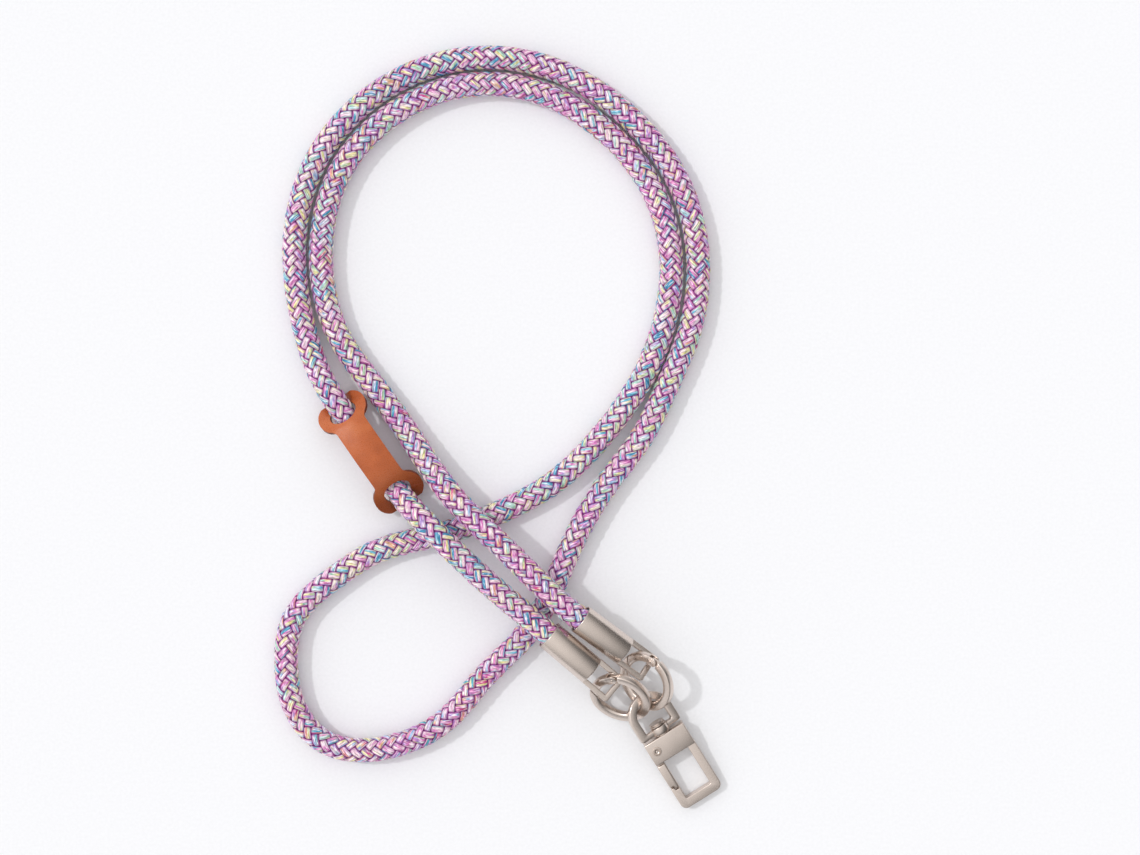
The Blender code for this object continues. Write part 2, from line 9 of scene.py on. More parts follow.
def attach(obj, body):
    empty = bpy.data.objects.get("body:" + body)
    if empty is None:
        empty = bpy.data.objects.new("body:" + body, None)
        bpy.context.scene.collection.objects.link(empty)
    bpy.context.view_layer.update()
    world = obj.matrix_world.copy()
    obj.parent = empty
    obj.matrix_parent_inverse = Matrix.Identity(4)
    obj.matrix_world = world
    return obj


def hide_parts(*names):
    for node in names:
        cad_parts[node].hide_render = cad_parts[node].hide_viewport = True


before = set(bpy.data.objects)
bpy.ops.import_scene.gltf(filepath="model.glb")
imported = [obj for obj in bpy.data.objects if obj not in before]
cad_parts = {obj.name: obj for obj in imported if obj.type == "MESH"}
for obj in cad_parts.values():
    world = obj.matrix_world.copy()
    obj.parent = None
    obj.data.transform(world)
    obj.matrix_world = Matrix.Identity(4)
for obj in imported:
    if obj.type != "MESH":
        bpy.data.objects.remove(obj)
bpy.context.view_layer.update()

mm = 0.001

# straight above; the picture is 438 mm wide at the rope
cameraSetup = {
    "over": (18.9, 66.5),      # mm, the middle of the picture
    "height": 900.0,           # mm above the surface
    "lens": 73.5,
    "sensor": 36.0,
}


def makeCamera():
    bpy.context.scene.view_settings.view_transform = "Standard"
    data = bpy.data.cameras.new("camera")
    data.lens = cameraSetup["lens"]
    data.sensor_width = cameraSetup["sensor"]
    data.clip_end = 10.0
    camera = bpy.data.objects.new("camera", data)
    camera.location = (*(c * mm for c in cameraSetup["over"]), cameraSetup["height"] * mm)
    bpy.context.scene.collection.objects.link(camera)
    bpy.context.scene.camera = camera


makeCamera()
print("camera placed")


# an sRGB hex code to a linear colour
def hexColour(code):
    channels = [int(code[i:i + 2], 16) / 255 for i in (1, 3, 5)]
    linear = [c / 12.92 if c <= 0.04045 else ((c + 0.055) / 1.055) ** 2.4 for c in channels]
    return (*linear, 1.0)


# adds a node, sets its properties, and fills or links its inputs
def addNode(tree, kind, sockets=None, **settings):
    node = tree.nodes.new(kind)
    for key, value in settings.items():
        setattr(node, key, value)
    for key, value in (sockets or {}).items():
        if isinstance(value, bpy.types.NodeSocket):
            tree.links.new(value, node.inputs[key])
        else:
            node.inputs[key].default_value = value
    return node


def newMaterial(name):
    material = bpy.data.materials.new(name)
    material.use_nodes = True
    tree = material.node_tree
    return material, tree, tree.nodes["Principled BSDF"]


def ramp(tree, factor, stops):
    node = addNode(tree, "ShaderNodeValToRGB", {"Fac": factor})
    elements = node.color_ramp.elements
    while len(elements) < len(stops):
        elements.new(0.5)
    for element, (position, code) in zip(elements, stops):
        element.position = position
        element.color = hexColour(code)
    return node.outputs["Color"]


def noise(tree, vector, scale, detail):
    return addNode(tree, "ShaderNodeTexNoise",
                   {"Vector": vector, "Scale": scale, "Detail": detail}).outputs["Fac"]


# maps low to lowResult and high to highResult
def fromTo(tree, value, low, high, lowResult, highResult, smooth=False):
    return addNode(tree, "ShaderNodeMapRange", {"Value": value, "From Min": low, "From Max": high,
                                                "To Min": lowResult, "To Max": highResult},
                   interpolation_type="SMOOTHSTEP" if smooth else "LINEAR").outputs[0]


# local x along the heading and pitched down, y to its left, z up, rolled about x
def turned(origin, heading, pitch=0.0, roll=0.0):
    h = math.radians(heading)
    p = math.radians(pitch)
    along = Vector((math.cos(h) * math.cos(p), math.sin(h) * math.cos(p), -math.sin(p)))
    left = Matrix.Rotation(math.radians(roll), 3, along) @ Vector((-math.sin(h), math.cos(h), 0.0))
    axes = Matrix((along, left, along.cross(left))).transposed()
    return Matrix.Translation(Vector(origin) * mm) @ axes.to_4x4()


# a ring's place: local x to its raised side, z along its axis
def leaning(centre, tilt, facing):
    f = math.radians(facing)
    t = math.radians(tilt)
    raised = Vector((math.cos(f) * math.cos(t), math.sin(f) * math.cos(t), math.sin(t)))
    level = Vector((-math.sin(f), math.cos(f), 0.0))
    axes = Matrix((raised, level, raised.cross(level))).transposed()
    return Matrix.Translation(Vector(centre) * mm) @ axes.to_4x4()


def arc(centre, radius, start, end, count):
    angles = np.radians(np.linspace(start, end, count))
    return [(centre[0] + radius * math.cos(a), centre[1] + radius * math.sin(a)) for a in angles]


# anticlockwise outline of a rectangle with round corners
def roundedBox(lowX, lowY, highX, highY, corner, steps=6):
    points = []
    for cx, cy, start in ((highX, highY, 0), (lowX, highY, 90), (lowX, lowY, 180), (highX, lowY, 270)):
        centre = (cx - corner if cx == highX else cx + corner, cy - corner if cy == highY else cy + corner)
        points += arc(centre, corner, start, start + 90, steps)
    return points


def loopVerts(bm, outline, z):
    verts = [bm.verts.new((x * mm, y * mm, z * mm)) for x, y in outline]
    edges = [bm.edges.new((a, b)) for a, b in zip(verts, verts[1:] + verts[:1])]
    return verts, edges


# rounds every edge that turns by more than sharpTurn degrees
def bevelSharp(bm, width, segments, sharpTurn=50.0):
    sharp = [e for e in bm.edges if len(e.link_faces) == 2 and e.calc_face_angle(0) > math.radians(sharpTurn)]
    bmesh.ops.bevel(bm, geom=sharp, offset=width * mm, offset_type="OFFSET", segments=segments,
                    profile=0.5, affect="EDGES", material=-1, clamp_overlap=True)


# a flat outline raised from low to high, with a hole of its own outline if given, in mm
def plate(outline, low, high, bevel=0.0, segments=3, hole=None):
    bm = bmesh.new()
    verts, edges = loopVerts(bm, outline, low)
    if hole:
        inner, innerEdges = loopVerts(bm, hole, low)
        faces = bmesh.ops.bridge_loops(bm, edges=edges + innerEdges)["faces"]
    else:
        faces = [bm.faces.new(verts)]
    raised = bmesh.ops.extrude_face_region(bm, geom=faces, use_keep_orig=True)
    upper = [v for v in raised["geom"] if isinstance(v, bmesh.types.BMVert)]
    bmesh.ops.translate(bm, vec=(0, 0, (high - low) * mm), verts=upper)
    bmesh.ops.recalc_face_normals(bm, faces=bm.faces[:])
    if bevel:
        bevelSharp(bm, bevel, segments)
    return bm


# a closed turned shape from (along, radius) points in mm that start and end on the axis
def lathe(profile, axis="X", steps=64):
    bm = bmesh.new()
    if axis == "X":
        points = [(a * mm, r * mm, 0.0) for a, r in profile]
    else:
        points = [(r * mm, 0.0, a * mm) for a, r in profile]
    verts = [bm.verts.new(p) for p in points]
    edges = [bm.edges.new(pair) for pair in zip(verts, verts[1:])]
    bmesh.ops.spin(bm, geom=verts + edges, cent=(0, 0, 0), axis=(1, 0, 0) if axis == "X" else (0, 0, 1),
                   angle=2 * math.pi, steps=steps, use_merge=True)
    bmesh.ops.remove_doubles(bm, verts=bm.verts[:], dist=0.001 * mm)
    bmesh.ops.recalc_face_normals(bm, faces=bm.faces[:])
    return bm


# the first shape with the second cut out of it
def carved(bm, cutter):
    objects = []
    for shape in (bm, cutter):
        mesh = bpy.data.meshes.new("carving")
        shape.to_mesh(mesh)
        shape.free()
        obj = bpy.data.objects.new("carving", mesh)
        bpy.context.scene.collection.objects.link(obj)
        objects.append(obj)
    cut = objects[0].modifiers.new("cut", "BOOLEAN")
    cut.operation = "DIFFERENCE"
    cut.object = objects[1]
    graph = bpy.context.evaluated_depsgraph_get()
    result = bmesh.new()
    result.from_object(objects[0], graph)
    for obj in objects:
        bpy.data.meshes.remove(obj.data)
    return result


# a plain round bar to cut a hole with
def drill(radius, low, high, axis="X"):
    return lathe([(low, 0.0), (low, radius), (high, radius), (high, 0.0)], axis, 32)


def moved(bm, matrix):
    bmesh.ops.transform(bm, matrix=matrix, verts=bm.verts)
    return bm


# one bmesh of several closed shells
def joined(*parts):
    whole = bmesh.new()
    for part in parts:
        shell = bpy.data.meshes.new("shell")
        part.to_mesh(shell)
        part.free()
        whole.from_mesh(shell)
        bpy.data.meshes.remove(shell)
    return whole


# puts a finished bmesh in the scene at its place, riding on its body for its CAD node
def finishPiece(name, bm, place, material, body, node, sharpAngle=40.0):
    mesh = bpy.data.meshes.new(name)
    bm.transform(place)
    bm.to_mesh(mesh)
    bm.free()
    for one in material if isinstance(material, (list, tuple)) else [material]:
        mesh.materials.append(one)
    mesh.shade_smooth()
    mesh.set_sharp_from_angle(angle=math.radians(sharpAngle))
    piece = bpy.data.objects.new(name, mesh)
    bpy.context.scene.collection.objects.link(piece)
    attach(piece, body)
    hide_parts(node)
    return piece


# sixteen strands braided over two and under two round a core
rope = {
    "diameter": 9.6,
    "strandsEachWay": 8,
    "helixAngle": 39.0,        # degrees from the rope's line
    "ride": 0.46,              # how far a strand moves out and in from the middle radius
    "strandHalfWidth": 1.43,
    "strandHalfHeight": 0.62,
    "strandSwell": 0.07,       # how much wider a strand is on top of the braid than under it
    "floatShare": 0.85,        # how flat a strand runs on top and below before it dives
    "sample": 0.62,            # mm between sections along a strand
    "coreRadius": 3.4,
    "coreSides": 12,
    "coreSample": 4,           # strand sections to one core section
    "pathSample": 8,           # strand sections to one point of the rope's path
    "entry": 15.0,             # into each cap
    "lead": 5.0,               # straight out of each cap
    "length": 1.361,           # m
    "pieces": 4,
}

yarnLook = {
    "yarns": 4,                # side by side in a strand
    "colourRun": 30.0,         # mm along a yarn between colours
    "slowRun": 260.0,          # mm, the slow change along the whole rope
    "filament": 0.36,          # mm across
    "filamentLength": 2.2,     # mm
    "twist": 13.0,             # degrees
    # painted highlight on the brightest filaments
    "paintedGlint": "#fffafc",
    # a purple yarn colour that also paints the shade in the grooves
    "bindingAndShade": "#801c7c",
    "colours": [(0.00, "#3c9cc6"), (0.08, "#6cc4e2"), (0.15, "#d4f0f0"), (0.21, "#a9dec6"), (0.27, "#f8ec9e"),
                (0.34, "#fff4e8"), (0.41, "#fbcce8"), (0.47, "#e270c4"), (0.53, "#fff6fc"), (0.59, "#f08ecb"),
                (0.65, "#b994e0"), (0.71, "#fff2f8"), (0.77, "#9cc4f2"), (0.84, "#fcc89c"), (0.91, "#da3c94"),
                (1.00, "#58b8cc")],
}

# x and y in mm, and the lift above a rope lying flat in rope diameters
ropeRoute = [
    (7.0, 7.8, 1.24), (-8.4, 22.8, 1.13), (-24.5, 38.6, 0.82), (-36.4, 54.0, 0.34),
    (-46.8, 69.4, 0.08), (-58.4, 84.8, 0.0), (-69.1, 100.1, 0.0),
    (-74.8, 114.9, 0.0), (-76.8, 136.0, 0.0), (-69.4, 164.9, 0.0), (-49.0, 187.1, 0.0),
    (-21.1, 198.1, 0.0), (8.3, 195.0, 0.0), (32.9, 180.1, 0.0), (50.6, 158.0, 0.0),
    (57.8, 130.1, 0.0), (55.1, 106.7, 0.0), (44.6, 81.8, 0.0),
    (29.7, 61.7, 0.0), (13.9, 46.3, 0.0), (-8.0, 34.0, 0.0), (-31.1, 25.5, 0.0),
    (-54.1, 19.4, 0.0), (-73.0, 7.8, 0.0), (-87.6, -7.6, 0.0), (-90.3, -22.9, 0.0),
    (-86.1, -42.9, 0.0), (-75.3, -54.5, 0.0), (-61.1, -57.6, 0.0), (-46.4, -55.2, 0.0),
    (-28.4, -45.6, 0.0), (-13.4, -28.7, 0.0), (0.1, -15.2, 0.0), (10.5, 0.9, 0.0),
    (20.5, 23.2, 0.0), (34.3, 46.3, 0.0), (47.0, 63.6, 0.0),
    (55.8, 81.2, 0.0), (64.8, 103.2, 0.0), (68.2, 130.1, 0.0), (60.0, 162.3, 0.0),
    (39.4, 187.9, 0.0), (10.9, 204.9, 0.0), (-22.9, 208.1, 0.0), (-54.9, 195.5, 0.0),
    (-78.3, 170.0, 0.0), (-87.1, 136.9, 0.0), (-84.5, 109.9, 0.03), (-77.2, 87.5, 0.26),
    (-70.1, 75.2, 0.36), (-64.4, 67.0, 0.1), (-57.5, 57.1, 0.0), (-50.6, 47.2, 0.06),
    (-45.1, 39.6, 0.32), (-35.7, 29.8, 0.95), (-21.1, 15.5, 1.17), (-4.1, 0.4, 1.22),
]

capRight = {"mouth": (22.8, -6.2, 14.9), "heading": -37.1, "pitch": 10.8, "roll": -15.8}
capLeft = {"mouth": (10.9, -12.2, 15.25), "heading": -40.8, "pitch": 6.4, "roll": -7.8}


def capPlace(cap):
    return turned(cap["mouth"], cap["heading"], cap["pitch"], cap["roll"])


# evenly spaced points on a natural cubic spline through the route, in metres
def smoothRoute(points, step):
    pts = np.array(points)
    span = np.linalg.norm(np.diff(pts, axis=0), axis=1)
    knots = np.concatenate([[0.0], np.cumsum(span)])
    count = len(pts)
    system = np.eye(count)
    right = np.zeros((count, 3))
    for i in range(1, count - 1):
        system[i, i - 1:i + 2] = (span[i - 1], 2 * (span[i - 1] + span[i]), span[i])
        right[i] = 6 * ((pts[i + 1] - pts[i]) / span[i] - (pts[i] - pts[i - 1]) / span[i - 1])
    bend = np.linalg.solve(system, right)
    t = np.linspace(0.0, knots[-1], 120 * count)
    i = np.clip(np.searchsorted(knots, t, side="right") - 1, 0, count - 2)
    before = (t - knots[i])[:, None]
    after = (knots[i + 1] - t)[:, None]
    s = span[i][:, None]
    fine = ((bend[i] * after ** 3 + bend[i + 1] * before ** 3) / (6 * s)
            + (pts[i + 1] / s - bend[i + 1] * s / 6) * before
            + (pts[i] / s - bend[i] * s / 6) * after)
    run = np.concatenate([[0.0], np.cumsum(np.linalg.norm(np.diff(fine, axis=0), axis=1))])
    stops = np.linspace(0.0, run[-1], round(run[-1] / step) + 1)
    return np.stack([np.interp(stops, run, fine[:, k]) for k in range(3)], axis=1), stops


def wholeRoute():
    flat = rope["diameter"] / 2
    offsets = (rope["entry"], rope["entry"] / 2, 0.0, -rope["lead"])
    start = [tuple(capPlace(capRight) @ Vector((x * mm, 0, 0))) for x in offsets]
    end = [tuple(capPlace(capLeft) @ Vector((x * mm, 0, 0))) for x in reversed(offsets)]
    middle = [(x * mm, y * mm, (flat + lift * rope["diameter"]) * mm) for x, y, lift in ropeRoute]
    return start + middle + end


# tangents and two cross axes that don't twist along the route
def steadyAxes(points):
    tangent = np.gradient(points, axis=0)
    tangent /= np.linalg.norm(tangent, axis=1)[:, None]
    side = np.cross(tangent[0], (0.0, 0.0, 1.0))
    across = [side / np.linalg.norm(side)]
    for t in tangent[1:]:
        side = across[-1] - t * across[-1].dot(t)
        across.append(side / np.linalg.norm(side))
    across = np.array(across)
    return tangent, across, np.cross(tangent, across)


# vertices and faces of a closed tube through rings of equally many points
def sweptShell(rings):
    count, sides = rings.shape[:2]
    index = np.arange(count * sides).reshape(count, sides)
    a = index[:-1]
    b = np.roll(index, -1, axis=1)[:-1]
    c = np.roll(index, -1, axis=1)[1:]
    d = index[1:]
    quads = np.stack([a, b, c, d], axis=-1).reshape(-1, 4)
    return rings.reshape(-1, 3), quads, index[0][::-1], index[-1]


# one mesh of several shells; extras are (attribute name, kind, one array a shell)
def meshFromShells(name, shells, extras=()):
    verts, quads, ends, offset = [], [], [], 0
    for points, faces, first, last in shells:
        verts.append(points)
        quads.append(faces + offset)
        ends += [first + offset, last + offset]
        offset += len(points)
    verts = np.concatenate(verts)
    quads = np.concatenate(quads)
    sides = len(ends[0])
    mesh = bpy.data.meshes.new(name)
    mesh.vertices.add(len(verts))
    mesh.vertices.foreach_set("co", verts.ravel())
    corners = np.concatenate([quads.ravel(), np.concatenate(ends)])
    totals = np.concatenate([np.full(len(quads), 4), np.full(len(ends), sides)])
    starts = np.concatenate([[0], np.cumsum(totals)[:-1]])
    mesh.loops.add(len(corners))
    mesh.loops.foreach_set("vertex_index", corners)
    mesh.polygons.add(len(totals))
    mesh.polygons.foreach_set("loop_start", starts)
    mesh.polygons.foreach_set("loop_total", totals)
    mesh.update(calc_edges=True)
    for attribute, kind, arrays in extras:
        layer = mesh.attributes.new(attribute, kind, "POINT")
        values = np.concatenate(arrays).astype(np.float32)
        layer.data.foreach_set("vector" if kind == "FLOAT_VECTOR" else "value", values.ravel())
    mesh.shade_smooth()
    return mesh


# sections of one strand, with its across, along and number values and its lift
def strandRings(points, run, axes, number, way):
    tangent, across, up = axes
    n = rope["strandsEachWay"]
    meanRadius = rope["diameter"] / 2 - rope["ride"] - rope["strandHalfHeight"]
    pitch = 2 * math.pi * (meanRadius + rope["ride"]) / math.tan(math.radians(rope["helixAngle"]))
    t = run / mm
    theta = way * 2 * math.pi * t / pitch + 2 * math.pi * number / n
    crossing = 2 * n * t / pitch                       # crossings passed along the strand
    phase = crossing + 2 * number if way > 0 else 2 * number - crossing
    wave = way * np.cos(math.pi * (phase - 0.5) / 2)
    flat = rope["floatShare"]
    lift = np.clip(1.35 * wave, -1.0, 1.0) * flat + (1 - flat) * wave
    radius = (meanRadius + rope["ride"] * lift) * mm
    outward = np.cos(theta)[:, None] * across + np.sin(theta)[:, None] * up
    aroundAxis = -np.sin(theta)[:, None] * across + np.cos(theta)[:, None] * up
    centre = points + radius[:, None] * outward
    forward = tangent + (radius * way * 2 * math.pi / (pitch * mm))[:, None] * aroundAxis
    forward /= np.linalg.norm(forward, axis=1)[:, None]
    side = np.cross(forward, outward)
    side /= np.linalg.norm(side, axis=1)[:, None]
    # a flattened section, domed outside, with the share of the way across at each of its points
    section = np.array([(-1.0, -0.3), (-0.64, 0.55), (0.0, 1.0), (0.64, 0.55), (1.0, -0.3), (0.0, -0.8)])
    acrossValue = np.array([0.0, 0.22, 0.5, 0.78, 1.0, 0.5])
    halfWidth = rope["strandHalfWidth"] * mm * (1.0 + rope["strandSwell"] * lift)
    rings = (centre[:, None, :]
             + side[:, None, :] * (section[:, 0][None, :, None] * halfWidth[:, None, None])
             + outward[:, None, :] * (section[:, 1][None, :, None] * rope["strandHalfHeight"] * mm))
    facts = np.zeros(rings.shape)
    facts[:, :, 0] = acrossValue[None, :]
    facts[:, :, 1] = (t / math.cos(math.radians(rope["helixAngle"])))[:, None]
    facts[:, :, 2] = number + (n if way < 0 else 0)
    lifts = np.repeat(lift, len(section))
    return rings, facts.reshape(-1, 3), lifts


# space-dyed polyester yarn: pastel runs of colour, filaments with painted highlights, and a purple yarn
# colour that also paints the shade in the grooves
def braidMaterial():
    material, tree, shader = newMaterial("spaceDyedYarn")
    y = yarnLook
    facts = addNode(tree, "ShaderNodeAttribute", attribute_name="strand")
    parts = addNode(tree, "ShaderNodeSeparateXYZ", {"Vector": facts.outputs["Vector"]})
    across, along, number = parts.outputs
    lift = addNode(tree, "ShaderNodeAttribute", attribute_name="lift").outputs["Fac"]

    def maths(operation, a, b=0.0, c=0.0):
        return addNode(tree, "ShaderNodeMath", {0: a, 1: b, 2: c}, operation=operation).outputs[0]

    def spot(x, y, z=0.0):
        return addNode(tree, "ShaderNodeCombineXYZ", {"X": x, "Y": y, "Z": z}).outputs[0]

    def blend(share, first, second):
        return addNode(tree, "ShaderNodeMix", {"Factor": share, "A": first, "B": hexColour(second)},
                       data_type="RGBA").outputs["Result"]

    # yarns lie side by side in a strand, each with its own run of colours
    count = float(y["yarns"])
    yarn = maths("FLOOR", maths("MULTIPLY", across, 0.999 * count))
    key = maths("MULTIPLY_ADD", number, count, yarn)
    dye = noise(tree, spot(maths("MULTIPLY", key, 7.31), maths("DIVIDE", along, y["colourRun"])), 1.0, 1.0)
    slow = noise(tree, spot(maths("DIVIDE", along, y["slowRun"]), 3.7), 1.0, 0.0)
    spread = maths("ADD", fromTo(tree, dye, 0.29, 0.71, 0.0, 1.0), fromTo(tree, slow, 0.3, 0.7, -0.14, 0.14))
    colour = ramp(tree, spread, y["colours"])

    # fine filaments, drawn a little coarser than real so that they show
    laid = addNode(tree, "ShaderNodeMapping",
                   {"Vector": spot(maths("MULTIPLY", across, 2 * rope["strandHalfWidth"]), along, number),
                    "Rotation": (0, 0, math.radians(y["twist"])),
                    "Scale": (1 / y["filament"], 1 / y["filamentLength"], 1.0)}).outputs[0]
    filament = noise(tree, laid, 1.0, 2.0)
    shade = fromTo(tree, filament, 0.34, 0.6, 0.5, 1.18)
    shaded = addNode(tree, "ShaderNodeVectorMath", {0: colour, "Scale": shade}, operation="SCALE").outputs[0]
    # painted highlight: the brightest filaments are mixed towards near-white
    paintedGlint = blend(fromTo(tree, filament, 0.55, 0.66, 0.0, 0.85), shaded, y["paintedGlint"])

    # painted shade in the grooves: darkened to purple along both sides of a strand, between its yarns and
    # where it dives under the others; the purple is taken as a yarn's colour, the darkness is painted shade
    side = maths("MULTIPLY", maths("ABSOLUTE", maths("SUBTRACT", across, 0.5)), 2.0)
    edge = fromTo(tree, maths("MULTIPLY_ADD", filament, 0.5, side), 0.84, 1.10, 0.0, 1.0, True)
    dive = fromTo(tree, maths("MULTIPLY_ADD", filament, -0.5, lift), 0.44, -0.2, 0.0, 1.0, True)
    between = maths("ABSOLUTE", maths("SUBTRACT", maths("FRACT", maths("MULTIPLY", across, count)), 0.5))
    seam = fromTo(tree, between, 0.38, 0.5, 0.0, 0.45)
    dark = maths("MAXIMUM", maths("MAXIMUM", edge, dive), seam)
    tree.links.new(blend(dark, paintedGlint, y["bindingAndShade"]), shader.inputs["Base Color"])
    height = maths("MULTIPLY_ADD", seam, -1.2, filament)
    bump = addNode(tree, "ShaderNodeBump", {"Height": height, "Strength": 0.9, "Distance": 0.16 * mm})
    tree.links.new(bump.outputs[0], shader.inputs["Normal"])
    shader.inputs["Roughness"].default_value = 0.42
    shader.inputs["Specular IOR Level"].default_value = 0.5
    return material


# purple filler yarn that shows only in the deepest gaps; its dark colour paints the shade there
def coreMaterial():
    material, tree, shader = newMaterial("fillerYarnAndShade")
    coords = addNode(tree, "ShaderNodeTexCoord").outputs["Object"]
    fuzz = noise(tree, coords, 2500.0, 2.0)
    tree.links.new(ramp(tree, fuzz, [(0.3, "#5c1a62"), (0.7, "#8c3490")]), shader.inputs["Base Color"])
    shader.inputs["Roughness"].default_value = 0.85
    return material


def makeRope():
    step = rope["sample"] * mm * math.cos(math.radians(rope["helixAngle"]))
    points, run = smoothRoute(wholeRoute(), step)
    axes = steadyAxes(points)
    yarn = braidMaterial()
    n = rope["strandsEachWay"]
    strands = [(k, way) for k in range(n) for way in (1, -1)]
    share = len(strands) // rope["pieces"]
    pieces = []
    for p in range(rope["pieces"]):
        shells, facts, lifts = [], [], []
        for number, way in strands[p * share:(p + 1) * share]:
            rings, fact, lift = strandRings(points, run, axes, number, way)
            shells.append(sweptShell(rings))
            facts.append(fact)
            lifts.append(lift)
        mesh = meshFromShells(f"ropeStrands{p + 1}", shells,
                              [("strand", "FLOAT_VECTOR", facts), ("lift", "FLOAT", lifts)])
        mesh.materials.append(yarn)
        piece = bpy.data.objects.new(f"ropeStrands{p + 1}", mesh)
        bpy.context.scene.collection.objects.link(piece)
        pieces.append(piece)
    across, up = (axis[::rope["coreSample"], None, :] for axis in axes[1:])
    angles = np.linspace(0, 2 * math.pi, rope["coreSides"], endpoint=False)[None, :, None]
    circle = np.cos(angles) * across + np.sin(angles) * up
    rings = points[::rope["coreSample"], None, :] + circle * rope["coreRadius"] * mm
    mesh = meshFromShells("ropeCore", [sweptShell(rings)])
    mesh.materials.append(coreMaterial())
    core = bpy.data.objects.new("ropeCore", mesh)
    bpy.context.scene.collection.objects.link(core)
    for piece in pieces + [core]:
        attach(piece, "strap")
        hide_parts("rope")


makeRope()
print("rope braided")


# satin nickel plate on zinc: warm grey, finely blasted, with faint brush lines
def nickelMaterial(name, stretch=(1.0, 1.0, 1.0), turn=0.0, grain=0.12, shade="#dccfc6"):
    material, tree, shader = newMaterial(name)
    coords = addNode(tree, "ShaderNodeTexCoord").outputs["Object"]
    mapped = addNode(tree, "ShaderNodeMapping",
                     {"Vector": coords, "Rotation": (0, 0, math.radians(turn)), "Scale": stretch}).outputs[0]
    grit = noise(tree, mapped, 5200.0, 2.0)
    tone = fromTo(tree, noise(tree, coords, 260.0, 3.0), 0.3, 0.7, 0.97, 1.03)
    base = addNode(tree, "ShaderNodeVectorMath", {0: hexColour(shade)[:3], "Scale": tone}, operation="SCALE")
    tree.links.new(base.outputs[0], shader.inputs["Base Color"])
    tree.links.new(fromTo(tree, grit, 0.25, 0.75, 0.24, 0.31), shader.inputs["Roughness"])
    bump = addNode(tree, "ShaderNodeBump", {"Height": grit, "Strength": grain, "Distance": 0.02 * mm})
    tree.links.new(bump.outputs[0], shader.inputs["Normal"])
    shader.inputs["Metallic"].default_value = 1.0
    return material


blastedNickel = nickelMaterial("blastedNickel")
brushedCapRight = nickelMaterial("brushedNickelRight", (0.08, 1.0, 1.0), 37.1, 0.05)
brushedCapLeft = nickelMaterial("brushedNickelLeft", (0.08, 1.0, 1.0), 40.8, 0.05)
print("metal finishes ready")


# turned sleeves with rectangular bails
endCap = {
    "radius": 5.7,
    "bore": 5.15,
    "length": 21.6,
    "depth": 16.2,
    "rim": 0.25,
    "edge": 0.5,
    "bailLength": 12.0,
    "bar": 2.1,
    "bailThickness": 2.3,
    "bailCorner": 1.1,
    "bailBevel": 0.42,
}


def makeEndCap(name, cap, material, node):
    c = endCap
    r, b, end = c["radius"], c["bore"], c["length"]
    profile = [(c["depth"], 0.0), (c["depth"], b), (c["rim"], b)]
    profile += [(c["rim"] - c["rim"] * math.sin(a), b + c["rim"] * (1 - math.cos(a)))
                for a in np.radians((30, 60, 90))]
    profile += [(0.0, r - c["rim"])]
    profile += [(c["rim"] * (1 - math.cos(a)), r - c["rim"] * (1 - math.sin(a)))
                for a in np.radians((30, 60, 90))]
    profile += [(end - c["edge"], r)]
    profile += [(end - c["edge"] * (1 - math.sin(a)), r - c["edge"] * (1 - math.cos(a)))
                for a in np.radians((22, 45, 68, 90))]
    profile += [(end, 0.0)]
    sleeve = lathe(profile, "X", 96)
    half = r
    far = end + c["bailLength"]
    outer = roundedBox(end - 1.0, -half, far, half, c["bailCorner"])
    inner = roundedBox(end - 0.2, c["bar"] - half, far - c["bar"], half - c["bar"], 0.25)
    thick = c["bailThickness"] / 2
    bail = plate(outer, -thick, thick, c["bailBevel"], 4, inner)
    finishPiece(name, joined(sleeve, bail), capPlace(cap), material, "strap", node)


makeEndCap("endCapRight", capRight, brushedCapRight, "end_cap_right")
makeEndCap("endCapLeft", capLeft, brushedCapLeft, "end_cap_left")
print("end caps made")


gateRing = {
    "radius": 10.2,
    "width": 3.6,
    "thickness": 2.8,
    "corners": (0.45, 1.0),    # outside, inside
    "gateCorners": (0.8, 1.1),
    "pinAngle": 36.0,
    "freeAngle": 96.0,
    "slantReach": 44.0,        # degrees of band that lean with the joint
    "pinRadius": 0.6,
    "pinRoom": 0.15,
    "pinStands": 0.18,         # how far the pin's heads stand out of the fork
    "tongue": 1.0,
    "tongueRadius": 1.45,
    "gap": 0.3,
    "endBevel": 0.14,
    "forkBevel": 0.2,
    "forkOverlap": 4.0,        # degrees that the fork's ears reach into the gate
    "spinStep": 3.0,           # degrees
}
ringRight = {"centre": (48.2, -30.5, 8.9), "tilt": 44.0, "facing": 27.3}
ringLeft = {"centre": (38.3, -36.8, 8.9), "tilt": 44.5, "facing": 66.5}


def onRing(angle, radius=None):
    a = math.radians(angle)
    r = gateRing["radius"] if radius is None else radius
    return Vector((r * math.cos(a), r * math.sin(a), 0.0))


# the band's rounded section spun between two angles
def bandArc(start, end, corners):
    g = gateRing
    w, t = g["width"] / 2, g["thickness"] / 2
    bm = bmesh.new()
    spot = Matrix.Rotation(math.radians(start), 3, "Z")
    outline = [outer if outer[0] > 0 else inner for outer, inner in
               zip(*(roundedBox(-w, -t, w, t, corner, 5) for corner in corners))]
    verts = [bm.verts.new(spot @ Vector(((g["radius"] + r) * mm, 0.0, z * mm))) for r, z in outline]
    face = bm.faces.new(verts)
    bmesh.ops.spin(bm, geom=[face, *face.edges, *face.verts], cent=(0, 0, 0), axis=(0, 0, 1),
                   angle=math.radians(end - start), steps=round((end - start) / g["spinStep"]),
                   use_duplicate=False)
    bmesh.ops.recalc_face_normals(bm, faces=bm.faces[:])
    return bm


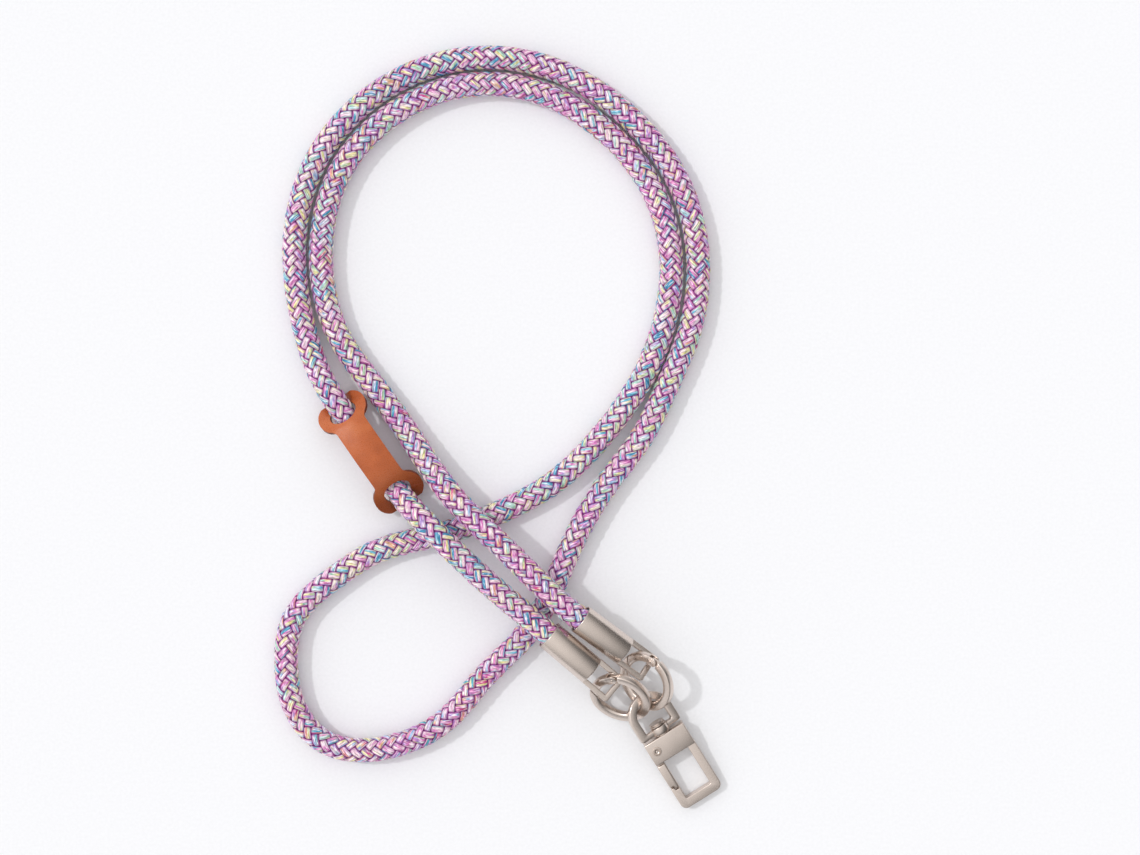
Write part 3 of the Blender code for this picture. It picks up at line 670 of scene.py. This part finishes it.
# turns the end at the free angle on to the slanted plane of the joint, and the sections near it with it
def slantEnd(bm, clearance, way):
    g = gateRing
    corner = onRing(g["freeAngle"], g["radius"] + g["width"] / 2)
    toward = corner - onRing(g["pinAngle"])
    facing = math.degrees(math.atan2(toward.y, toward.x))
    offset = corner.dot(toward.normalized()) + clearance
    for vert in bm.verts:
        angle = math.degrees(math.atan2(vert.co.y, vert.co.x))
        share = 1 - way * (angle - g["freeAngle"]) / g["slantReach"]
        if 0 < share < 1.001:
            onPlane = facing - math.degrees(math.acos(offset * mm / math.hypot(vert.co.x, vert.co.y)))
            vert.co.rotate(Matrix.Rotation(math.radians((onPlane - g["freeAngle"]) * share), 3, "Z"))


def makeRing(side, ring):
    g = gateRing
    place = leaning(ring["centre"], ring["tilt"], ring["facing"])
    knuckle = g["width"] / 2
    pin = onRing(g["pinAngle"])
    toPin = Matrix.Translation(pin * mm) @ Matrix.Rotation(math.radians(g["pinAngle"] + 90), 4, "Z")
    frameEnd = g["pinAngle"] - math.degrees((knuckle + 1.5 * g["gap"]) / g["radius"])

    band = bandArc(g["freeAngle"], frameEnd + 360.0, g["corners"])
    slantEnd(band, g["gap"], 1)
    bevelSharp(band, g["endBevel"], 2)
    half = g["tongue"] / 2
    root = -2.2 * knuckle      # inside the band
    outline = [(root, -g["tongueRadius"])] + arc((0, 0), g["tongueRadius"], -90, 90, 15)
    outline += [(root, g["tongueRadius"])]
    tongue = carved(plate(outline, -half, half, 0.12, 2),
                    drill(g["pinRadius"] + g["pinRoom"], -2 * half, 2 * half, "Z"))
    tongue = moved(tongue, toPin)
    finishPiece("ringFrame" + side.capitalize(), joined(band, tongue), place, blastedNickel, "strap",
                f"ring_{side}_frame")

    clear = math.degrees((g["tongueRadius"] + g["gap"]) / g["radius"])
    arm = bandArc(g["pinAngle"] + clear, g["freeAngle"], g["gateCorners"])
    slantEnd(arm, 0.0, -1)
    bevelSharp(arm, g["endBevel"], 2)
    outerR, innerR = g["radius"] + knuckle, g["radius"] - knuckle
    reach = g["pinAngle"] + clear + g["forkOverlap"]
    ear = [(p.x, p.y) for p in (onRing(a, outerR - 0.1 * (a - g["pinAngle"]) / clear)
                                for a in np.linspace(reach, g["pinAngle"], 8))]
    ear += arc((pin.x, pin.y), knuckle, g["pinAngle"], g["pinAngle"] - 180, 17)[1:-1]
    ear += [(p.x, p.y) for p in (onRing(a, innerR + 0.1 * (a - g["pinAngle"]) / clear)
                                 for a in np.linspace(g["pinAngle"], reach, 8))]
    low, high = half + g["gap"], g["thickness"] / 2
    upper = plate(ear, low, high, g["forkBevel"], 3)
    lower = plate(ear, -high, -low, g["forkBevel"], 3)
    r, top = g["pinRadius"], high + g["pinStands"]
    shaft = lathe([(-top, 0.0), (-top, r - 0.2), (-top + 0.08, r - 0.05), (-top + 0.2, r), (top - 0.2, r),
                   (top - 0.08, r - 0.05), (top, r - 0.2), (top, 0.0)], "Z", 32)
    finishPiece("ringGate" + side.capitalize(),
                joined(arm, upper, lower, moved(shaft, Matrix.Translation(pin * mm))), place, blastedNickel,
                f"{side}_gate", f"ring_{side}_gate")


makeRing("right", ringRight)
makeRing("left", ringLeft)
print("gate rings made")


# D eye, block with post, hook and lever
clasp = {
    "plan": (54.5, -50.9),
    "heading": -58.0,
    "pitch": 7.0,
    "eyeRoll": -14.0,
    "blockLength": 9.2,
    "blockWidth": 17.5,
    "blockThickness": 6.0,
    "blockBevel": 0.38,
    "hookLength": 30.0,
    "hookWidth": 17.7,
    "hookThickness": 4.0,
    "hookBevel": 0.85,
    "sideBar": 3.5,
    "endBar": 3.7,
    "hookCorner": 2.6,
    "gateWidth": 3.4,
    "gateThickness": 3.6,
    "gateBevel": 0.6,
    "gateShoulder": 10.0,
    "pivot": (4.3, -5.55),
    "tongue": 2.4,
    "rivetRadius": 1.9,
    "shaftRadius": 1.1,
    "pinRoom": 0.15,
    "rivetStands": 0.34,
    "postRadius": 1.4,
    "headRadius": 3.3,
    "eyeBar": 3.2,
    "eyeWidth": 18.2,
    "eyeReach": 17.7,
    "eyeFoot": (-3.2, -1.0),   # the straight bar that the post passes through, from and to
    "eyeCorners": (0.5, 0.8),  # inside, outside
    "eyeBevel": 0.55,
    "barrelRadius": 3.65,
    "noseAt": 20.2,            # where the hook's lip ends
    "lipWidth": 1.2,
    "gap": 0.3,
}


def claspPlace(roll=0.0):
    p = math.radians(clasp["pitch"])
    height = clasp["hookLength"] * math.sin(p) + clasp["hookThickness"] / 2 * math.cos(p)
    return turned((*clasp["plan"], height), clasp["heading"], clasp["pitch"], roll)


def makeEye():
    c = clasp
    bar = c["eyeBar"] / 2
    outerHalf = c["eyeWidth"] / 2
    innerHalf = outerHalf - c["eyeBar"]
    bend = -(c["eyeReach"] - outerHalf)
    top, base = c["eyeFoot"]
    small, large = c["eyeCorners"]
    outer = arc((bend, 0), outerHalf, 90, 270, 41) + arc((base - large, large - outerHalf), large, -90, 0, 4)
    outer += arc((base - large, outerHalf - large), large, 0, 90, 4)
    inner = arc((bend, 0), innerHalf, 90, 270, 41) + arc((top - small, small - innerHalf), small, -90, 0, 4)
    inner += arc((top - small, innerHalf - small), small, 0, 90, 4)
    loop = plate(outer, -bar + 0.15, bar - 0.15, c["eyeBevel"], 3, inner)
    r, hole = c["barrelRadius"], c["postRadius"] + c["gap"]
    loop = carved(loop, drill(hole, -4.5, 0.0))
    barrel = lathe([(-3.5, hole), (-3.5, r - 0.3), (-3.42, r - 0.1), (-3.2, r), (-1.0, r), (-0.78, r - 0.1),
                    (-0.7, r - 0.3), (-0.7, hole), (-3.5, hole)], "X", 64)
    finishPiece("swivelEye", joined(loop, barrel), claspPlace(c["eyeRoll"]), blastedNickel, "strap",
                "swivel_eye")


def makeHook():
    c = clasp
    place = claspPlace()
    half = c["hookWidth"] / 2
    end, innerEnd = c["hookLength"], c["hookLength"] - c["endBar"]
    root = c["blockLength"] - 1.0
    corner = c["hookCorner"]
    gateInner = c["gateWidth"] - half
    # the nose keeps an outer lip that the lever's tip closes behind
    outline = [(root, half)] + arc((end - corner, half - corner), corner, 90, 0, 9)
    outline += arc((end - corner, corner - half), corner, 0, -90, 9)
    nose, lip = c["noseAt"], c["lipWidth"] - half
    outline += [(nose, -half), (nose, lip), (nose + 1.2, lip + 0.4), (nose + 1.2, gateInner)]
    outline += arc((innerEnd - 0.3, gateInner + 0.3), 0.3, -90, 0, 3)
    outline += arc((innerEnd - 0.3, half - c["sideBar"] - 0.3), 0.3, 0, 90, 3)
    outline += [(root, half - c["sideBar"])]
    thick = c["hookThickness"] / 2
    frameBar = plate(outline, -thick, thick, c["hookBevel"], 4)

    halfBlock, halfHeight = c["blockWidth"] / 2, c["blockThickness"] / 2
    blockOutline = [(0, -halfBlock), (c["blockLength"], -halfBlock),
                    (c["blockLength"], halfBlock), (0, halfBlock)]
    block = plate(blockOutline, -halfHeight, halfHeight, c["blockBevel"], 3)
    px, py = c["pivot"]
    room = c["tongue"] + 2 * c["gap"]
    slot = c["tongue"] / 2 + c["gap"]
    cutter = plate([(px - room, -halfBlock - 1), (c["blockLength"] + 1, -halfBlock - 1),
                    (c["blockLength"] + 1, py + room), (px - room, py + room)], -slot, slot)
    block = carved(block, cutter)

    r = c["rivetRadius"]
    top = halfHeight + c["rivetStands"]
    # half of the rivet's profile from its middle out; the other half mirrors it
    upper = [(halfHeight - 0.5, c["shaftRadius"]), (halfHeight - 0.1, r), (top - 0.05, r - 0.15), (top, 1.42),
             (top - 0.32, 1.25), (top - 0.32, 1.0), (top - 0.02, 0.8), (top - 0.2, 0.5), (top, 0.0)]
    rivet = lathe([(-a, b) for a, b in reversed(upper)] + upper, "Z", 48)
    rivet = moved(rivet, Matrix.Translation(Vector((px, py, 0)) * mm))

    # a collar in the block, the post through the eye's barrel, and a stepped head beyond it
    p, h = c["postRadius"], c["headRadius"]
    post = lathe([(1.5, 0.0), (1.5, 2.6), (-0.3, 2.6), (-0.4, 2.5), (-0.4, p), (-3.8, p), (-3.8, h - 0.1),
                  (-3.88, h), (-4.2, h), (-4.28, h - 0.1), (-4.28, h - 0.7), (-4.6, h - 0.7),
                  (-4.6, h - 0.35), (-4.68, h - 0.25), (-5.0, h - 0.25), (-5.1, h - 0.4), (-5.1, 1.5),
                  (-4.95, 1.1), (-4.95, 0.0)], "X", 64)
    finishPiece("claspHook", joined(frameBar, block, rivet, post), place, blastedNickel, "clasp",
                "clasp_hook")

    thickG = c["gateThickness"] / 2
    s = c["gateShoulder"]
    tip = [(s, -half), (nose - c["gap"], -half), (nose - c["gap"], lip + c["gap"]),
           (nose + 1.2 - c["gap"], lip + 0.4 + c["gap"]), (nose + 1.2 - c["gap"], gateInner), (s, gateInner)]
    bar = plate(tip, -thickG, thickG, c["gateBevel"], 3)
    reach = s + 0.9
    tongueOutline = [(reach, gateInner - 0.7), *arc((px, py), c["tongue"], 60, 240, 15), (reach, -half + 0.7)]
    tongue = carved(plate(tongueOutline, -c["tongue"] / 2, c["tongue"] / 2, 0.15, 2),
                    moved(drill(c["shaftRadius"] + c["pinRoom"], -c["tongue"], c["tongue"], "Z"),
                          Matrix.Translation(Vector((px, py, 0)) * mm)))
    finishPiece("claspLever", joined(bar, tongue), place, blastedNickel, "clasp_lever",
                "clasp_gate")


makeEye()
makeHook()
print("clasp made")


bone = {
    "place": (-57.5, 57.1),
    "heading": -55.0,
    "length": 46.0,
    "waist": 11.8,
    "thickness": 1.8,
    "lobeAt": (18.0, 4.9),
    "lobeRadius": 5.25,
    "holeAt": 17.7,
    "holeLength": 7.0,
    "holeWidth": 10.8,
    "archHeight": 13.4,        # underside over the rope
    "archFall": 0.007,         # per mm, squared, along the arch
    "crown": 0.022,            # per mm, squared, across it
    "kneeAt": 14.0,
    "kneeSoft": 0.8,
    "fall": 0.87,              # slope of the lobes
    "strapDip": 4.7,           # how far the rope presses the end straps down
    "dipAlong": (16.8, 20.8),  # where the dip starts and is full
    "dipAcross": (2.8, 7.0),   # where it starts to fade and is gone
    "crownReach": 7.0,         # the crown falls no further past this
    "cutReach": 10.2,          # just past the lobes
    "spacing": 0.45,           # between the cuts that let the sheet bend
    "closest": 0.12,           # vertices nearer than this merge before the rim is rounded
    "edgeRound": 0.35,
}


def easeIn(value, low, high):
    share = min(max((value - low) / (high - low), 0.0), 1.0)
    return share * share * (3 - 2 * share)


# height of the underside: an arch over the rope, lobes that slope down, and end straps under the rope
def boneHeight(x, y):
    b = bone
    knee = (abs(x) - b["kneeAt"]) / b["kneeSoft"]
    past = b["kneeSoft"] * math.log(1 + math.exp(knee))
    flat = min(abs(x), b["kneeAt"])
    height = b["archHeight"] - b["archFall"] * flat ** 2 - b["crown"] * min(abs(y), b["crownReach"]) ** 2
    height -= b["fall"] * past
    dip = b["strapDip"] * easeIn(abs(x), *b["dipAlong"]) * (1 - easeIn(abs(y), *b["dipAcross"]))
    return max(height - dip, 0.05)


# two round lobes at each end of a narrower waist
def boneOutline():
    b = bone
    waist, end = b["waist"] / 2, b["length"] / 2
    cx, cy = b["lobeAt"]
    r = b["lobeRadius"]
    start = cx - math.sqrt(r * r - (waist - cy) ** 2)
    quarter = [(0.0, waist), (start - 1.3, waist), (start - 0.55, waist + 0.1), (start - 0.05, waist + 0.5)]
    quarter += arc((cx, cy), r, 160, 2, 26)
    quarter += [(end - 0.15, 4.2), (end - 0.35, 2.6), (end - 0.45, 0.0)]
    whole = quarter + [(x, -y) for x, y in reversed(quarter[:-1])]
    whole += [(-x, -y) for x, y in quarter[1:]] + [(-x, y) for x, y in reversed(quarter[1:-1])]
    return whole[::-1]


# vegetable-tanned cowhide with a fine pebbled top grain and a soft polish
def leatherMaterial():
    material, tree, shader = newMaterial("tanCowhide")
    coords = addNode(tree, "ShaderNodeTexCoord").outputs["Object"]
    mottle = noise(tree, coords, 110.0, 4.0)
    colour = ramp(tree, mottle, [(0.28, "#ab5220"), (0.5, "#bd5e29"), (0.72, "#c86c37")])

    # painted shade: darker towards the end that faces the hardware, where the leather slopes away from the
    # light
    h = math.radians(bone["heading"])
    reach = addNode(tree, "ShaderNodeVectorMath", {0: coords, 1: (math.cos(h), math.sin(h), 0.0)},
                    operation="DOT_PRODUCT").outputs["Value"]
    middle = (bone["place"][0] * math.cos(h) + bone["place"][1] * math.sin(h)) * mm
    paintedEndShade = fromTo(tree, reach, middle + 2 * mm, middle + 21 * mm, 0.0, 0.62, True)
    endShadedColour = addNode(tree, "ShaderNodeMix", {"Factor": paintedEndShade, "A": colour, "B": hexColour("#70300f")},
                     data_type="RGBA").outputs["Result"]

    # pebbles about 0.4 mm across with creases between them
    pebbles = addNode(tree, "ShaderNodeTexVoronoi", {"Vector": coords, "Scale": 2500.0},
                      feature="DISTANCE_TO_EDGE")
    crease = fromTo(tree, pebbles.outputs["Distance"], 0.0, 0.12, 0.82, 1.0)
    dark = addNode(tree, "ShaderNodeVectorMath", {0: endShadedColour, "Scale": crease}, operation="SCALE").outputs[0]
    tree.links.new(dark, shader.inputs["Base Color"])
    grain = noise(tree, coords, 2300.0, 3.0)
    relief = addNode(tree, "ShaderNodeMath", {0: pebbles.outputs["Distance"], 1: 1.2, 2: grain},
                     operation="MULTIPLY_ADD").outputs[0]
    bump = addNode(tree, "ShaderNodeBump", {"Height": relief, "Strength": 0.7, "Distance": 0.07 * mm})
    tree.links.new(bump.outputs[0], shader.inputs["Normal"])
    tree.links.new(fromTo(tree, grain, 0.3, 0.7, 0.22, 0.42), shader.inputs["Roughness"])
    return material


# the burnished cut edge: darker, with fibres pressed along it
def edgeMaterial():
    material, tree, shader = newMaterial("burnishedEdge")
    coords = addNode(tree, "ShaderNodeTexCoord").outputs["Object"]
    pressed = addNode(tree, "ShaderNodeMapping", {"Vector": coords, "Scale": (0.4, 0.4, 2.0)}).outputs[0]
    fibre = noise(tree, pressed, 1800.0, 3.0)
    tree.links.new(ramp(tree, fibre, [(0.3, "#5e2812"), (0.7, "#8a431f")]), shader.inputs["Base Color"])
    bump = addNode(tree, "ShaderNodeBump", {"Height": fibre, "Strength": 0.4, "Distance": 0.05 * mm})
    tree.links.new(bump.outputs[0], shader.inputs["Normal"])
    shader.inputs["Roughness"].default_value = 0.5
    return material


# pushes a cosine or sine out, so that a circle comes out slightly squared
def squared(value):
    return math.copysign(abs(value) ** 0.85, value)


def makeBone():
    b = bone
    bm = bmesh.new()
    verts, edges = loopVerts(bm, boneOutline(), 0.0)
    angles = np.radians(np.linspace(0, 360, 40, endpoint=False))
    for sign in (-1, 1):
        hole = [(sign * b["holeAt"] + b["holeLength"] / 2 * squared(math.cos(a)),
                 b["holeWidth"] / 2 * squared(math.sin(a))) for a in angles]
        edges += loopVerts(bm, hole, 0.0)[1]
    bmesh.ops.triangle_fill(bm, use_beauty=True, edges=edges, normal=(0, 0, 1))
    for axis, reach, spacing in ((0, b["length"] / 2, b["spacing"]), (1, b["cutReach"], 2 * b["spacing"])):
        for station in np.arange(spacing - reach, reach, spacing):
            spot = Vector((0, 0, 0))
            spot[axis] = station * mm
            bmesh.ops.bisect_plane(bm, geom=bm.verts[:] + bm.edges[:] + bm.faces[:], dist=0.0005 * mm,
                                   plane_co=spot, plane_no=spot.normalized())
    bmesh.ops.remove_doubles(bm, verts=bm.verts[:], dist=b["closest"] * mm)
    # the upper face is a copy of the lower one, moved out along the sheet's own normal
    upper = bmesh.ops.extrude_face_region(bm, geom=bm.faces[:], use_keep_orig=True)["geom"]
    upperVerts = {v for v in upper if isinstance(v, bmesh.types.BMVert)}
    walls = {f for f in bm.faces if 0 < sum(v in upperVerts for v in f.verts) < len(f.verts)}
    for vert in bm.verts:
        x, y = vert.co.x / mm, vert.co.y / mm
        low = boneHeight(x, y)
        slope = Vector((low - boneHeight(x + 0.05, y), low - boneHeight(x, y + 0.05), 0.05)).normalized()
        vert.co.z = low * mm
        if vert in upperVerts:
            vert.co += slope * b["thickness"] * mm
    bmesh.ops.recalc_face_normals(bm, faces=bm.faces[:])
    for face in walls:
        face.material_index = 1
    rim = [e for e in bm.edges if sum(f in walls for f in e.link_faces) == 1]
    bmesh.ops.bevel(bm, geom=rim, offset=b["edgeRound"] * mm, offset_type="OFFSET", segments=3, profile=0.5,
                    affect="EDGES", material=-1, clamp_overlap=True, loop_slide=False)
    place = turned((*b["place"], 0.0), b["heading"])
    finishPiece("leatherBone", bm, place, [leatherMaterial(), edgeMaterial()], "strap", "leather_bone")


makeBone()
print("leather slider made")


studio = {
    "keyStrength": 0.8,
    "keyElevation": 51.0,
    "keyFrom": 160.0,          # degrees, where the light stands
    "keySoftness": 3.0,
    "domeToward": (-0.66, 0.3, 0.69),
    "domeReflected": [(0.28, 0.06), (0.5, 0.23), (0.68, 0.70), (0.845, 0.97), (0.95, 1.16), (1.0, 1.27)],
    "domeMatt": [(0.28, 0.485), (0.5, 0.74), (0.68, 0.90), (0.845, 0.97), (0.95, 1.02), (1.0, 1.04)],
    "floor": "#f0f1f4",
}


def makeFloor():
    bm = bmesh.new()
    bmesh.ops.create_grid(bm, x_segments=1, y_segments=1, size=3.0)
    mesh = bpy.data.meshes.new("floor")
    bm.to_mesh(mesh)
    bm.free()
    material, tree, shader = newMaterial("mattePaper")
    coords = addNode(tree, "ShaderNodeTexCoord").outputs["Object"]
    fleck = noise(tree, coords, 900.0, 2.0)
    tree.links.new(ramp(tree, fleck, [(0.3, studio["floor"]), (0.7, "#f4f5f8")]), shader.inputs["Base Color"])
    shader.inputs["Roughness"].default_value = 0.9
    shader.inputs["Specular IOR Level"].default_value = 0.1
    mesh.materials.append(material)
    floor = bpy.data.objects.new("floor", mesh)
    bpy.context.scene.collection.objects.link(floor)


def makeLights():
    s = studio
    a, e = math.radians(s["keyFrom"]), math.radians(s["keyElevation"])
    source = Vector((math.cos(a) * math.cos(e), math.sin(a) * math.cos(e), math.sin(e)))
    data = bpy.data.lights.new("key", "SUN")
    data.energy = s["keyStrength"]
    data.angle = math.radians(s["keySoftness"])
    key = bpy.data.objects.new("key", data)
    key.rotation_euler = source.to_track_quat("Z", "Y").to_euler()
    bpy.context.scene.collection.objects.link(key)

    # a soft dome, brighter towards the key light, with more contrast in what glossy surfaces mirror
    world = bpy.data.worlds.new("studioWorld")
    world.use_nodes = True
    tree = world.node_tree
    direction = addNode(tree, "ShaderNodeTexCoord").outputs["Generated"]
    toward = Vector(s["domeToward"]).normalized()
    facing = addNode(tree, "ShaderNodeVectorMath", {0: direction, 1: tuple(toward)}, operation="DOT_PRODUCT")
    share = addNode(tree, "ShaderNodeMath", {0: facing.outputs["Value"], 1: 0.5, 2: 0.5},
                    operation="MULTIPLY_ADD")
    levels = []
    for dome in (s["domeMatt"], s["domeReflected"]):
        node = addNode(tree, "ShaderNodeFloatCurve", {"Value": share.outputs[0]})
        curve = node.mapping.curves[0]
        peak = dome[-1][1]
        for place, strength in dome[1:-1]:
            curve.points.new(place, strength / peak)
        curve.points[0].location = (dome[0][0], dome[0][1] / peak)
        curve.points[-1].location = (1.0, 1.0)
        node.mapping.update()
        scaled = addNode(tree, "ShaderNodeMath", {0: node.outputs[0], 1: peak}, operation="MULTIPLY")
        levels.append(scaled.outputs[0])
    glossy = addNode(tree, "ShaderNodeLightPath").outputs["Is Glossy Ray"]
    level = addNode(tree, "ShaderNodeMix", {"Factor": glossy, "A": levels[0], "B": levels[1]})
    background = tree.nodes["Background"]
    background.inputs["Color"].default_value = (1.0, 0.99, 0.985, 1.0)
    tree.links.new(level.outputs["Result"], background.inputs["Strength"])
    bpy.context.scene.world = world


makeFloor()
makeLights()
print("studio ready")
